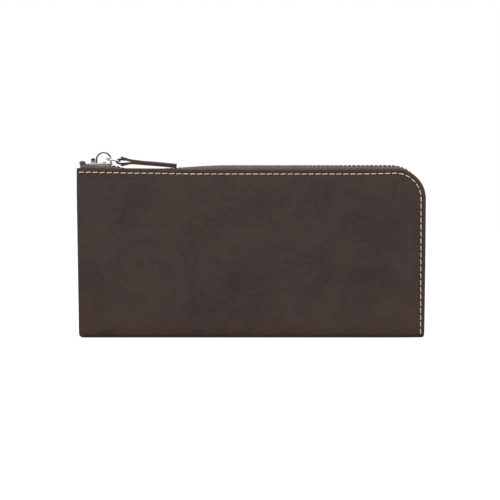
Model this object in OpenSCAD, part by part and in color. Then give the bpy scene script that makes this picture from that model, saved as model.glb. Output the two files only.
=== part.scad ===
// Long zip wallet: one hide folded along the bottom, closed by an L-shaped zip
// that runs along the top, round one corner and down the right side.
// Frame: X to the right along the wallet, Y to the back, Z up.
// Origin: middle of the bottom, on the surface that the wallet stands on.

/* [Outer size] */
// Length of the leather panels
wallet_w = 200; // [160:1:240]
// Height of the leather panels from the surface to their top edge
wallet_h = 97.5; // [84:0.5:120]
// Depth over both panels
wallet_d = 22; // [21:0.5:27]
// Radius of the panels' corner that the zip turns round
corner_r = 17.25; // [15:0.25:24]
// How far the panels' zip edges lean in
edge_lean = 2; // [1.6:0.1:2.2]
// Outside radius of the bottom fold
fold_r = 6; // [5:0.5:7]

/* [Sheet thickness] */
// Outer leather
leather_t = 1.3; // [1:0.05:1.4]
// Stiffening board under the leather
board_t = 0.4; // [0.3:0.05:0.4]
// Cloth lining
lining_t = 0.3; // [0.2:0.05:0.35]
// Card pocket leather, each row
card_t = 0.4; // [0.3:0.05:0.45]
// Walls of the coin pocket
coin_wall_t = 0.5; // [0.4:0.05:0.6]
// Leather of the left gusset
gusset_t = 0.6; // [0.4:0.05:0.7]

/* [Main zip] */
// Height of the chain's middle plane above the top edge of the leather
chain_rise = 1.25; // [0.8:0.05:1.6]
// How far the chain's middle plane lies inside the leather's right edge
chain_sink = 1.7; // [1.4:0.05:2.2]
// Radius of the chain's corner, at its middle plane
chain_r = 17.5; // [15.5:0.25:24]
// Thickness of the zip tape
tape_t = 0.5; // [0.4:0.05:0.55]
// Distance from the middle of the chain to each tape's edge
tape_edge = 1.25; // [1.2:0.05:1.35]
// Spacing of the teeth on one tape
tooth_pitch = 2.55; // [2.3:0.05:3]
// Width of a tooth along the chain
tooth_w = 1.15; // [0.9:0.05:1.2]
// Thickness of a tooth across the chain's plane
tooth_h = 1.9; // [1.6:0.05:2]
// How far a tooth reaches past the middle of the chain
tooth_reach = 0.5; // [0.4:0.05:0.55]
// How far a tooth's legs reach back over the tape
tooth_leg = 3.3; // [2.8:0.05:3.4]
// Height of the lowest tooth on the right side
chain_low = 25; // [24:0.5:40]

/* [Slider and pull] */
// Length of the slider
slider_l = 16; // [14:0.25:18]
// Width of the slider at its tail
slider_w = 8.6; // [8.2:0.1:9]
// Thickness of the slider's plates
plate_t = 0.9; // [0.7:0.05:1.1]
// Outside radius of the slider's hoop
hoop_r = 4.6; // [4:0.1:5.2]
// Radial thickness of the hoop
hoop_t = 0.9; // [0.7:0.05:1]
// Width of the hoop across the chain
hoop_w = 1.8; // [1.4:0.1:2.2]
// Straight legs of the hoop under its arch
hoop_leg = 2; // [1.2:0.1:2.6]
// Diameter of the link's wire
wire_d = 1.2; // [1:0.05:1.3]
// Length of the link between its two bars
link_l = 6.6; // [6:0.1:7.6]
// Half the width of the link, to the middle of the wire
link_half_w = 3.3; // [3:0.1:3.6]
// Length of the leather pull from the link to its end
strap_l = 33; // [28:0.5:45]
// Width of the leather pull
strap_w = 9; // [8:0.5:12]
// Width of the pull's neck, where it folds round the link
strap_neck_w = 4.2; // [3.6:0.1:4.4]
// Thickness of the pull's leather, each layer
strap_t = 1.1; // [0.8:0.05:1.2]

/* [Stitching] */
// Distance of the stitches from the leather's edge
stitch_inset = 2.3; // [2:0.1:3]
// Length of one stitch and the gap after it
stitch_pitch = 4; // [3:0.1:5]
// Length of one stitch
stitch_l = 2.9; // [2:0.1:3]
// Diameter of the thread
thread_d = 0.6; // [0.4:0.05:0.7]

/* [Inside] */
// Depth of the left gusset's fold
gusset_depth = 24; // [16:0.5:30]
// Width of each compartment beside the coin pocket
compartment_w = 5; // [4.4:0.1:6]
// Top of the highest card row
card_top = 72; // [60:1:74]
// Step from one card row to the next
card_step = 12; // [8:1:14]
// Top of the coin pocket's walls
coin_top = 85; // [70:1:86]
// Length of the coin pocket's slider
coin_slider_l = 8; // [7:0.25:9]
// Length of the coin pocket's pull tag
coin_pull_l = 9; // [7:0.5:9.5]

/* [Hidden] */
$fn = 64;

touch = 0.02;            // gap that keeps two touching faces apart
half_d = wallet_d / 2;
left_x = -wallet_w / 2;
edge_cx = wallet_w / 2 - corner_r;    // centre of the leather's corner
edge_cz = wallet_h - corner_r;
lean_r = (corner_r * corner_r + edge_lean * edge_lean) / (2 * edge_lean);
zip_cx = wallet_w / 2 - chain_sink - chain_r;    // centre of the chain's corner
zip_cz = wallet_h + chain_rise - chain_r;
chain_z = zip_cz + chain_r;
panel_low = fold_r + 0.2;             // the panels start just above the fold
inside_low = fold_r + 2;              // the sheets inside start a little higher

// Card rows and coin pocket: each face follows from the sheets outside it
card_face = half_d - leather_t - board_t - lining_t;
coin_half = card_face - 3 * card_t - compartment_w;
coin_left = left_x + gusset_depth + 2.5;
coin_right = edge_cx - 4;
card_left = left_x + 16;
card_right = edge_cx - 1;

// Tape profile
shoulder_y = slider_w / 2 + 0.1;      // where the tape's flat top ends
shoulder_r = half_d - edge_lean - leather_t - shoulder_y - 0.02;
tape_side = shoulder_y + shoulder_r;
tape_low = chain_r - 8.1;             // lower edge of the tape, from the corner's centre
tape_flare = 0.5;
lining_inset = 6.75;

// Slider and pull
channel_h = tooth_h / 2 + 0.1;        // half the slider's channel
slider_left = left_x + 3.2;
slider_right = slider_left + slider_l;
slider_top = channel_h + plate_t;     // above the chain's middle plane
lip_in = tooth_leg + 0.2;
tape_slot = tape_t / 2 + 0.2;
post_half = (tape_edge - tooth_reach) / 2 - 0.06;
hoop_x = slider_right - hoop_r - 0.2;
hoop_z = chain_z + slider_top + hoop_leg;
wire_r = wire_d / 2;
link_seat = 10;                       // where the link sits in the hoop, in degrees
link_reach = hoop_r - hoop_t - wire_r - 0.4;
link_x = hoop_x + link_reach * cos(link_seat);
link_z = hoop_z + link_reach * sin(link_seat);
strap_gap = 0.4;                      // the pull lies this far above the teeth
fold_in = wire_r + 0.15;              // inside radius of the pull's fold
fold_out = fold_in + strap_t;
teeth_top = chain_z + tooth_h / 2;
strap_z = teeth_top + strap_gap + fold_out;
link_tilt = asin((link_z - strap_z) / link_l);
strap_x = link_x + link_l * cos(link_tilt);
strap_tilt = asin((strap_z - (teeth_top + strap_gap + strap_t)) / strap_l);
mouth_l = 12;                         // the pull's two layers meet this far from the link

// Teeth and stitches along the L
first_tooth = slider_left + 6.4;
chain_length = (zip_cx - first_tooth) + chain_r * PI / 2 + (zip_cz - chain_low);
tooth_count = floor(chain_length / tooth_pitch) - 1;
stitch_r = corner_r - stitch_inset;
seam_length = (edge_cx - left_x) + stitch_r * PI / 2 + (edge_cz - panel_low);
stitch_count = floor(seam_length / stitch_pitch);
// The seam lies on the leaning part of the leather
stitch_y = half_d - lean_r + sqrt(lean_r * lean_r - stitch_r * stitch_r) + thread_d / 2 + touch;

// Coin pocket's zip
coin_chain_z = coin_top - 0.6;
coin_coil_r = 0.5;
coin_coil_y = 0.72;
coin_tape_t = 0.3;
coin_plate_t = 0.6;
coin_channel = coin_coil_r + 0.1;
coin_post_half = coin_coil_y - coin_coil_r - 0.05;
coin_slider_left = coin_left + 6;
coin_slider_w = 2 * coin_half - 2 * coin_wall_t - 0.2;
coin_hoop_r = 2;
coin_hoop_x = coin_slider_left + coin_slider_l - coin_hoop_r - 0.6;
coin_hoop_z = coin_chain_z + coin_channel + coin_plate_t;
coin_pull_t = 0.7;
coin_eye_r = 0.55;
coin_eye_rise = coin_eye_r + 0.15;    // the tag's eye clears the plate and the hoop
coin_eye_x = sqrt(pow(coin_hoop_r - 0.6 - coin_eye_r, 2) - pow(coin_eye_rise, 2));

leather_brown = [0.27, 0.22, 0.21];
lining_brown = [0.33, 0.25, 0.19];
tape_brown = [0.36, 0.28, 0.28];
metal_grey = [0.75, 0.75, 0.76];

// A place on an L that runs right along the top, round the corner and down:
// [x, z, angle of the outward direction], at distance s from its left end
function l_place(s, from_x, cx, cz, r) =
    let (top = cx - from_x, bend = r * PI / 2)
    s < top ? [from_x + s, cz, 90]
    : s < top + bend ? [cx, cz, 90 - (s - top) / bend * 90]
    : [cx, cz - (s - top - bend), 0];

// Children's X points outwards from the L, Y to the front and Z along it
module on_l(place) {
    a = place[2];
    multmatrix([[cos(a), 0, sin(a), place[0]],
                [0, -1, 0, 0],
                [sin(a), 0, -cos(a), place[1]]])
        children();
}

// Sweeps a profile (outward, to the front) along an L
module along_l(cx, cz, from_x, to_z) {
    on_l([from_x, cz, 90])
        linear_extrude(cx - from_x) children();
    translate([cx, 0, cz])
        rotate([90, 0, 0])
            rotate_extrude(angle = 90) children();
    on_l([cx, cz, 0])
        linear_extrude(cz - to_z) children();
}

module mirror_y() { mirror([0, 1, 0]) children(); }

// One sheet of the front half: flat in its field, leaning in along the zip
module panel_sheet(depth, t, inset, from_x, from_z) {
    translate([from_x, -(half_d - depth), from_z])
        cube([edge_cx - from_x, t, edge_cz - from_z]);
    along_l(edge_cx, edge_cz, from_x, from_z)
        intersection() {
            translate([0, half_d - lean_r])
                difference() {
                    circle(lean_r - depth);
                    circle(lean_r - depth - t);
                }
            square([corner_r - inset, half_d]);
        }
}

module front_leather() { panel_sheet(0, leather_t, 0, left_x, panel_low); }
module front_board_sheet() { panel_sheet(leather_t, board_t, lining_inset + 0.75, left_x + 6.5, inside_low); }
module front_lining_sheet() {
    panel_sheet(leather_t + board_t, lining_t, lining_inset, left_x + 6.5, inside_low);
}

// A U-shaped sheet that lines the bottom fold, depth in from the outer face
module fold_sheet(depth, t, from_x, to_x) {
    translate([from_x, 0, 0])
        multmatrix([[0, 0, 1, 0], [1, 0, 0, 0], [0, 1, 0, 0]])
            linear_extrude(to_x - from_x)
                difference() {
                    fold_outline(depth);
                    fold_outline(depth + t);
                }
}

module fold_outline(depth) {
    for (side = [-1, 1])
        translate([side * (half_d - fold_r), fold_r])
            difference() {
                circle(fold_r - depth);
                translate([-fold_r, 0]) square([2 * fold_r, fold_r]);
            }
    translate([-(half_d - fold_r), depth])
        square([2 * (half_d - fold_r), fold_r - depth]);
}

module bottom_fold() { color(leather_brown) fold_sheet(0, leather_t, left_x, -left_x); }
module bottom_lining() { color(lining_brown) fold_sheet(leather_t, lining_t, left_x + 6.5, zip_cx); }

module front_panel() { color(leather_brown) front_leather(); }
module back_panel() { color(leather_brown) mirror_y() front_leather(); }
module front_board() { color("tan") front_board_sheet(); }
module back_board() { color("tan") mirror_y() front_board_sheet(); }
module front_lining() { color(lining_brown) front_lining_sheet(); }
module back_lining() { color(lining_brown) mirror_y() front_lining_sheet(); }

// Card rows lie one on another against the lining, row 0 the outermost and highest
module card_row(row) {
    translate([card_left, -(card_face - row * card_t), inside_low])
        cube([card_right - card_left, card_t, card_top - row * card_step - inside_low]);
}

module front_card_row_high() { color(leather_brown) card_row(0); }
module front_card_row_mid() { color(leather_brown) card_row(1); }
module front_card_row_low() { color(leather_brown) card_row(2); }
module back_card_row_high() { color(leather_brown) mirror_y() card_row(0); }
module back_card_row_mid() { color(leather_brown) mirror_y() card_row(1); }
module back_card_row_low() { color(leather_brown) mirror_y() card_row(2); }

// A sheet folded inwards into a V, closing the left side
module left_gusset() {
    pad_y = half_d - leather_t - edge_lean;
    apex_x = left_x + gusset_depth;
    color(leather_brown)
        translate([0, 0, inside_low])
            linear_extrude(zip_cz + tape_low - 0.6 - inside_low)
                polygon([
                    [left_x + 0.5, pad_y],
                    [left_x + 6, pad_y],
                    [apex_x, 0.15],
                    [apex_x, -0.15],
                    [left_x + 6, -pad_y],
                    [left_x + 0.5, -pad_y],
                    [left_x + 0.5, gusset_t - pad_y],
                    [left_x + 5.8, gusset_t - pad_y],
                    [apex_x - 2 * gusset_t, 0],
                    [left_x + 5.8, pad_y - gusset_t],
                    [left_x + 0.5, pad_y - gusset_t]
                ]);
}

// Folded strips that join the coin pocket to the back card rows
module bill_gusset(x, towards) {
    near = coin_half + touch;
    far = coin_half + compartment_w - touch;
    mid = (near + far) / 2;
    t = 0.3;
    color(lining_brown)
        translate([x, 0, inside_low])
            linear_extrude(card_top - 2 * card_step - inside_low)
                polygon([
                    [0, near],
                    [towards * 3, mid],
                    [0, far],
                    [towards * 1.2 * t, far],
                    [towards * (3 + 1.2 * t), mid],
                    [towards * 1.2 * t, near]
                ]);
}

module bill_gusset_left() { bill_gusset(coin_left + 0.5, 1); }
module bill_gusset_right() { bill_gusset(coin_right - 0.5, -1); }

// Stitches lie on the leather, along the L
module front_stitches() {
    for (i = [0 : stitch_count - 1])
        on_l(l_place((i + 0.5) * stitch_pitch, left_x, edge_cx, edge_cz, stitch_r))
            translate([stitch_r, stitch_y, 0])
                cylinder(h = stitch_l, d = thread_d, center = true);
}

module front_stitching() { color("wheat") front_stitches(); }
module back_stitching() { color("wheat") mirror_y() front_stitches(); }

// Tape: flat beside the chain, round its shoulder and down inside the leather
module tape_profile() {
    translate([chain_r - tape_t / 2, tape_edge])
        square([tape_t, shoulder_y - tape_edge]);
    shoulder_x = chain_r + tape_t / 2 - shoulder_r;
    translate([shoulder_x, shoulder_y])
        intersection() {
            difference() {
                circle(shoulder_r);
                circle(shoulder_r - tape_t);
            }
            square(shoulder_r);
        }
    polygon([
        [shoulder_x, tape_side - tape_t],
        [shoulder_x, tape_side],
        [tape_low, tape_side + tape_flare],
        [tape_low, tape_side + tape_flare - tape_t]
    ]);
}

module front_tape() { along_l(zip_cx, zip_cz, left_x + 1, inside_low) tape_profile(); }
module front_zip_tape() { color(tape_brown) front_tape(); }
module back_zip_tape() { color(tape_brown) mirror_y() front_tape(); }

// A tooth's two legs clamp the tape's edge, and its head reaches past the middle
module tooth() {
    head_h = tooth_h - 0.5;
    leg_slot = tape_t + 2 * touch;
    translate([chain_r, 0, -tooth_w / 2])
        linear_extrude(tooth_w)
            polygon([
                [-head_h / 2, -tooth_reach],
                [head_h / 2, -tooth_reach],
                [tooth_h / 2, tape_edge - 0.6],
                [tooth_h / 2, tooth_leg],
                [leg_slot / 2, tooth_leg],
                [leg_slot / 2, tape_edge - touch],
                [-leg_slot / 2, tape_edge - touch],
                [-leg_slot / 2, tooth_leg],
                [-tooth_h / 2, tooth_leg],
                [-tooth_h / 2, tape_edge - 0.6]
            ]);
}

module teeth(shift) {
    for (i = [0 : tooth_count - 1])
        on_l(l_place((i + shift) * tooth_pitch, first_tooth, zip_cx, zip_cz, chain_r))
            tooth();
}

module front_zip_teeth() { color("dimgray") teeth(0.5); }
module back_zip_teeth() { color("dimgray") mirror_y() teeth(1); }

// Top stops clamp each tape beyond the slider's nose
module top_stop() {
    stop_l = 1.6;
    slot = tape_t + 2 * touch;
    translate([slider_left - stop_l - 0.3, 0, chain_z])
        multmatrix([[0, 0, 1, 0], [0, -1, 0, 0], [1, 0, 0, 0]])
            linear_extrude(stop_l)
                difference() {
                    translate([-tooth_h / 2, 0.4]) square([tooth_h, 2.8]);
                    translate([-slot / 2, tape_edge - touch]) square([slot, 4]);
                }
}

module front_top_stop() { color(metal_grey) top_stop(); }
module back_top_stop() { color(metal_grey) mirror_y() top_stop(); }

// The bottom stop's two plates hold both tapes at the lower end of the chain
module bottom_stop() {
    stop_h = 3;
    slot = tape_t + 0.1;
    reach = 3.2;
    color(metal_grey)
        translate([zip_cx + chain_r, 0, chain_low - stop_h - 1.4])
            linear_extrude(stop_h)
                difference() {
                    square([tooth_h, 2 * reach], center = true);
                    for (side = [-1, 1])
                        translate([0, side * (tape_edge - 0.05 + 2)])
                            square([slot, 4], center = true);
                }
}

// The ends of both tapes, turned in below the bottom stop
module zip_end_tab() {
    color(tape_brown)
        translate([zip_cx + chain_r - 1.2, -5, leather_t + lining_t + 0.1])
            cube([1, 10, inside_low - leather_t - lining_t - 0.3]);
}

// Slider: wide nose at the left, where the chain parts, and a straight tail
module slider_plate() {
    nose = 2.2;
    linear_extrude(plate_t)
        polygon([
            [slider_left, -slider_w / 2 + nose],
            [slider_left + 0.8, -slider_w / 2 + 0.7],
            [slider_left + nose, -slider_w / 2],
            [slider_right - 0.7, -slider_w / 2],
            [slider_right, -slider_w / 2 + 0.7],
            [slider_right, slider_w / 2 - 0.7],
            [slider_right - 0.7, slider_w / 2],
            [slider_left + nose, slider_w / 2],
            [slider_left + 0.8, slider_w / 2 - 0.7],
            [slider_left, slider_w / 2 - nose]
        ]);
}

module slider_lip(side) {
    translate([slider_left + 3, side > 0 ? lip_in : -slider_w / 2, tape_slot])
        cube([slider_l - 3.7, slider_w / 2 - lip_in, channel_h - tape_slot + touch]);
}

module slider_body() {
    color(metal_grey)
        translate([0, 0, chain_z])
            union() {
                for (up = [0, 1])
                    mirror([0, 0, up]) {
                        translate([0, 0, channel_h]) slider_plate();
                        for (side = [-1, 1]) slider_lip(side);
                    }
                // the post that parts the chain stands between the back teeth and the front tape
                translate([slider_left + 1, -(tooth_reach + tape_edge) / 2, -channel_h - touch])
                    linear_extrude(2 * (channel_h + touch))
                        polygon([
                            [0, 0],
                            [1.2, -post_half],
                            [3.4, -post_half],
                            [4.4, 0],
                            [3.4, post_half],
                            [1.2, post_half]
                        ]);
            }
}

// An arch of flat wire that stands on the slider's top plate
module slider_hoop() {
    color(metal_grey)
        translate([hoop_x, hoop_w / 2, hoop_z])
            rotate([90, 0, 0])
                linear_extrude(hoop_w) {
                    difference() {
                        circle(hoop_r);
                        circle(hoop_r - hoop_t);
                        translate([-hoop_r, -hoop_r]) square([2 * hoop_r, hoop_r]);
                    }
                    for (side = [-1, 1])
                        translate([side * (hoop_r - hoop_t / 2), -hoop_leg / 2])
                            square([hoop_t, hoop_leg], center = true);
                }
}

// Wire link: round where it passes through the hoop, straight where the pull folds
module pull_link() {
    bend_r = 1;
    leg_l = link_l - link_half_w - bend_r;
    color(metal_grey)
        translate([link_x, 0, link_z])
            rotate([0, link_tilt, 0])
                translate([link_half_w, 0, 0])
                    union() {
                        rotate([0, 0, 90])
                            rotate_extrude(angle = 180)
                                translate([link_half_w, 0]) circle(wire_r);
                        for (side = [0, 1])
                            mirror([0, side, 0]) {
                                translate([0, link_half_w, 0])
                                    rotate([0, 90, 0]) cylinder(h = leg_l, r = wire_r);
                                translate([leg_l, link_half_w - bend_r, 0])
                                    rotate_extrude(angle = 90)
                                        translate([bend_r, 0]) circle(wire_r);
                            }
                        translate([leg_l + bend_r, 0, 0])
                            rotate([90, 0, 0])
                                cylinder(h = 2 * (link_half_w - bend_r), r = wire_r, center = true);
                    }
}

// One strip folded round the link's straight bar, its two layers glued together
module pull_strap() {
    color(leather_brown)
        translate([strap_x, 0, strap_z])
            rotate([0, strap_tilt, 0])
                intersection() {
                    difference() {
                        union() {
                            rotate([90, 0, 0]) cylinder(h = 2 * strap_w, r = fold_out, center = true);
                            strap_side([
                                [0, fold_out - touch],
                                [mouth_l, strap_t],
                                [strap_l, strap_t],
                                [strap_l, -strap_t],
                                [mouth_l, -strap_t],
                                [0, touch - fold_out]
                            ]);
                        }
                        rotate([90, 0, 0]) cylinder(h = 3 * strap_w, r = fold_in, center = true);
                        strap_side([[0, fold_in - touch], [mouth_l, 0], [0, touch - fold_in]]);
                    }
                    strap_outline();
                }
}

// A shape seen from the side, right across the pull
module strap_side(points) {
    rotate([90, 0, 0]) linear_extrude(3 * strap_w, center = true) polygon(points);
}

// The strip's flat shape: a narrow neck in the link, then the full width
module strap_outline() {
    translate([0, 0, -strap_w])
        linear_extrude(2 * strap_w)
            polygon([
                [-fold_out - 1, -strap_neck_w / 2],
                [4, -strap_neck_w / 2],
                [6.5, -strap_w / 2],
                [strap_l - 1, -strap_w / 2],
                [strap_l + 1, -strap_w / 2 + 2],
                [strap_l + 1, strap_w / 2 - 2],
                [strap_l - 1, strap_w / 2],
                [6.5, strap_w / 2],
                [4, strap_neck_w / 2],
                [-fold_out - 1, strap_neck_w / 2]
            ]);
}

// Coin pocket: two walls joined by a binding along the bottom and both sides
module coin_wall() {
    translate([coin_left, -coin_half, inside_low])
        cube([coin_right - coin_left, coin_wall_t, coin_top - inside_low]);
}

module coin_wall_front() { color(lining_brown) coin_wall(); }
module coin_wall_back() { color(lining_brown) mirror_y() coin_wall(); }

module coin_pocket_binding() {
    binding_t = 0.5;
    inner = coin_half - coin_wall_t - touch;
    color(leather_brown)
        difference() {
            translate([coin_left, -inner, inside_low])
                cube([coin_right - coin_left, 2 * inner, coin_top - inside_low - 1.5]);
            translate([coin_left + binding_t, -coin_half, inside_low + binding_t])
                cube([coin_right - coin_left - 2 * binding_t, 2 * coin_half, coin_top]);
        }
}

module coin_zip_tape() {
    color(tape_brown)
        for (side = [0, 1])
            mirror([0, side, 0])
                translate([coin_left, coin_coil_y, coin_chain_z - coin_tape_t / 2])
                    cube([coin_right - coin_left, coin_half - coin_wall_t - coin_coil_y - touch, coin_tape_t]);
}

// Each nylon coil lies along its tape's edge as a round bead
module coin_zip_coils() {
    color("dimgray")
        for (side = [-1, 1])
            translate([coin_slider_left + 4.4, side * coin_coil_y, coin_chain_z])
                rotate([0, 90, 0])
                    difference() {
                        cylinder(h = coin_right - coin_slider_left - 8, r = coin_coil_r);
                        translate([-coin_tape_t / 2 - touch, side > 0 ? 0 : -1, -1])
                            cube([coin_tape_t + 2 * touch, 1, coin_right - coin_left]);
                    }
}

module coin_zip_stops() {
    stop_l = 1.4;
    color(metal_grey)
        for (x = [coin_slider_left - stop_l - 0.3, coin_right - 3])
            translate([x, -1.2, coin_chain_z + coin_tape_t / 2 + touch])
                cube([stop_l, 2.4, 0.6]);
}

module coin_slider() {
    color(metal_grey)
        union() {
            for (up = [0, 1])
                translate([0, 0, coin_chain_z])
                    mirror([0, 0, up])
                        translate([coin_slider_left, -coin_slider_w / 2, coin_channel])
                            cube([coin_slider_l, coin_slider_w, coin_plate_t]);
            translate([coin_slider_left + 0.6, -coin_post_half, coin_chain_z - coin_channel - touch])
                cube([3, 2 * coin_post_half, 2 * (coin_channel + touch)]);
            translate([coin_hoop_x, 0.5, coin_hoop_z - touch])
                rotate([90, 0, 0])
                    linear_extrude(1)
                        difference() {
                            circle(coin_hoop_r);
                            circle(coin_hoop_r - 0.5);
                            translate([-coin_hoop_r, -coin_hoop_r]) square([2 * coin_hoop_r, coin_hoop_r]);
                        }
        }
}

// A flat tag with an eye that turns in the coin slider's hoop
module coin_pull() {
    color(metal_grey)
        translate([coin_hoop_x + coin_eye_x, 0, coin_hoop_z + coin_eye_rise])
            union() {
                rotate([90, 0, 0]) cylinder(h = 3.2, r = coin_eye_r, center = true);
                for (side = [-1, 1])
                    translate([0, side * 1.2 - 0.4, -coin_pull_t / 2])
                        cube([3.8, 0.8, coin_pull_t]);
                translate([3.4, -1.6, -coin_pull_t / 2])
                    cube([coin_pull_l - 3.4, 3.2, coin_pull_t]);
            }
}

front_panel();
back_panel();
bottom_fold();
front_board();
back_board();
front_lining();
back_lining();
bottom_lining();
front_card_row_high();
front_card_row_mid();
front_card_row_low();
back_card_row_high();
back_card_row_mid();
back_card_row_low();
left_gusset();
bill_gusset_left();
bill_gusset_right();
front_stitching();
back_stitching();
front_zip_tape();
back_zip_tape();
front_zip_teeth();
back_zip_teeth();
front_top_stop();
back_top_stop();
bottom_stop();
zip_end_tab();
slider_body();
slider_hoop();
pull_link();
pull_strap();
coin_wall_front();
coin_wall_back();
coin_pocket_binding();
coin_zip_tape();
coin_zip_coils();
coin_zip_stops();
coin_slider();
coin_pull();
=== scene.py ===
import math

import bpy
from mathutils import Matrix, Vector, noise


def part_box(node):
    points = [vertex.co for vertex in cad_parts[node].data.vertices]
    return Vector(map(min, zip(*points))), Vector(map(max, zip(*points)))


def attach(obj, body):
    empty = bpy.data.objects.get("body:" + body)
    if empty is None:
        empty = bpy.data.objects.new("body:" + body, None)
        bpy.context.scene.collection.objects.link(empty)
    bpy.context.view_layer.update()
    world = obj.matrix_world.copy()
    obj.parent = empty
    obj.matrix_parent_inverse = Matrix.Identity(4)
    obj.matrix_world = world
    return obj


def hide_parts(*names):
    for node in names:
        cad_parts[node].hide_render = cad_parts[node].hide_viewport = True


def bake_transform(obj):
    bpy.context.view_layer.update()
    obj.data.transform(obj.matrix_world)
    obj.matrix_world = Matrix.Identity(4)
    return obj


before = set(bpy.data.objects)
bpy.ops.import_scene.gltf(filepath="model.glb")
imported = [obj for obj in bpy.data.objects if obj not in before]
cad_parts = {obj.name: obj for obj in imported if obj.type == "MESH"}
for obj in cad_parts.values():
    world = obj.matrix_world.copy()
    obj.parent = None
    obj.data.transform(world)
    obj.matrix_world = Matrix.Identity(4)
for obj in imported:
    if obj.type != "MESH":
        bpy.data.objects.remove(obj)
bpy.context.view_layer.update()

# Outer hide
# One piece of waxed pull-up leather, 1.3 mm thick, folded along the bottom and cut with a rounded die.
# Its top and right edges are pressed in towards the zip that is sewn behind them.
MM = 0.001
half_length = 100 * MM
half_depth = 11 * MM
hide_top = 97.5 * MM
hide_thickness = 1.3 * MM
fold_radius = 6 * MM
corner_radius = 17.25 * MM
corner_x = half_length - corner_radius
corner_z = hide_top - corner_radius
lean = 2 * MM
lean_radius = (corner_radius ** 2 + lean ** 2) / (2 * lean)


def alone(piece):
    """Deselect everything, then select this piece and make it the active one."""
    if bpy.context.object and bpy.context.object.mode != "OBJECT":
        bpy.ops.object.mode_set(mode="OBJECT")
    bpy.ops.object.select_all(action="DESELECT")
    piece.select_set(True)
    bpy.context.view_layer.objects.active = piece


def begin(add, name, stretch=(1, 1, 1), **at):
    """Add a primitive, give it its size, and keep its place in its mesh."""
    if bpy.context.object and bpy.context.object.mode != "OBJECT":
        bpy.ops.object.mode_set(mode="OBJECT")
    bpy.ops.object.select_all(action="DESELECT")
    add(**at)
    piece = bpy.context.object
    piece.name = piece.data.name = name
    piece.scale = stretch
    bpy.ops.object.transform_apply(location=True, rotation=True, scale=True)
    return piece


def pick(piece, test, kind="VERT"):
    """Go into edit mode with the vertices, edges or faces selected whose points all pass the test."""
    alone(piece)
    bpy.ops.object.mode_set(mode="EDIT")
    bpy.ops.mesh.select_mode(type=kind)
    bpy.ops.mesh.select_all(action="DESELECT")
    bpy.ops.object.mode_set(mode="OBJECT")
    mesh = piece.data
    if kind == "VERT":
        for point in mesh.vertices:
            point.select = test(point.co)
    else:
        for item in mesh.edges if kind == "EDGE" else mesh.polygons:
            item.select = all(test(mesh.vertices[i].co) for i in item.vertices)
    bpy.ops.object.mode_set(mode="EDIT")


def pull_out(way, steps=1):
    """Extrude what is selected, by a total distance, in equal steps."""
    for _ in range(steps):
        bpy.ops.mesh.extrude_region_move(TRANSFORM_OT_translate={"value": tuple(Vector(way) / steps)})


def finish_with(piece, kind, **settings):
    """Add a modifier with these settings and apply it."""
    alone(piece)
    modifier = piece.modifiers.new(kind.title(), kind)
    for key, value in settings.items():
        setattr(modifier, key, value)
    bpy.ops.object.modifier_apply(modifier=modifier.name)


def smooth(piece, degrees=40):
    alone(piece)
    bpy.ops.object.shade_smooth_by_angle(angle=math.radians(degrees))


def face_out(piece):
    alone(piece)
    bpy.ops.object.mode_set(mode="EDIT")
    bpy.ops.mesh.select_all(action="SELECT")
    bpy.ops.mesh.remove_doubles(threshold=0.005 * MM)
    bpy.ops.mesh.normals_make_consistent(inside=False)
    bpy.ops.object.mode_set(mode="OBJECT")


def ease(value, low, high):
    """0 below low, 1 above high, and a smooth rise between."""
    t = min(max((value - low) / (high - low), 0), 1)
    return t * t * (3 - 2 * t)


def outward(x, z, centre_x=corner_x, centre_z=corner_z):
    """How far a point lies past the middle of the zip's corner, towards the top or the right."""
    return math.hypot(max(x - centre_x, 0), max(z - centre_z, 0))


def die(name, left, right, low, top, radii):
    """A cutting die: a thick block with its four corners rounded, from the lower left one round."""
    block = begin(bpy.ops.mesh.primitive_cube_add, name, stretch=((right - left) / 2, 30 * MM, (top - low) / 2))
    block.data.transform(Matrix.Translation(((left + right) / 2, 0, (low + top) / 2)))
    corners = [(left, low), (left, top), (right, top), (right, low)]
    for (x, z), radius in zip(corners, radii):
        pick(block, lambda co: abs(co.x - x) < MM / 10 and abs(co.z - z) < MM / 10, "EDGE")
        bpy.ops.mesh.bevel(offset=radius, segments=max(4, round(radius / (0.7 * MM))), affect="EDGES")
        bpy.ops.object.mode_set(mode="OBJECT")
    return block


def cut_to(piece, block):
    """Keep only what lies inside the block."""
    finish_with(piece, "BOOLEAN", operation="INTERSECT", object=block, solver="EXACT")
    bpy.data.objects.remove(block)


hide = begin(bpy.ops.mesh.primitive_grid_add, "outer_hide", stretch=(201 * MM, 92.5 * MM, 1),
             x_subdivisions=110, y_subdivisions=50, size=1)
hide.data.transform(Matrix.Rotation(math.pi / 2, 4, "X"))
hide.data.transform(Matrix.Translation((0, -half_depth, fold_radius + 92.5 * MM / 2)))
pick(hide, lambda co: co.z < fold_radius + MM / 10, "EDGE")
bpy.ops.mesh.spin(steps=10, angle=-math.pi / 2, axis=(1, 0, 0),
                  center=(0, fold_radius - half_depth, fold_radius))
pull_out((0, half_depth - fold_radius, 0), 3)
bpy.ops.object.mode_set(mode="OBJECT")
finish_with(hide, "MIRROR", use_axis=(False, True, False), merge_threshold=MM / 50)
face_out(hide)
front_face = min(hide.data.polygons, key=lambda face: face.center.y)
if front_face.normal.y > 0:
    hide.data.flip_normals()
finish_with(hide, "SOLIDIFY", thickness=hide_thickness, offset=-1)
cut_to(hide, die("hide_die", -half_length, half_length, -0.02 * MM, hide_top,
                 (2.3 * MM, 0.9 * MM, corner_radius, 1.6 * MM)))


def edge_lift(x, z):
    """The top edge stands up a little at the left and hangs a little along the middle of its run."""
    near_top = ease(z, 70 * MM, hide_top)
    droop = ease(x, -62 * MM, -30 * MM) * (1 - ease(x, 60 * MM, 88 * MM)) * near_top
    return 0.55 * MM * ease(-x, 62 * MM, 98 * MM) * near_top - 0.45 * MM * droop


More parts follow.
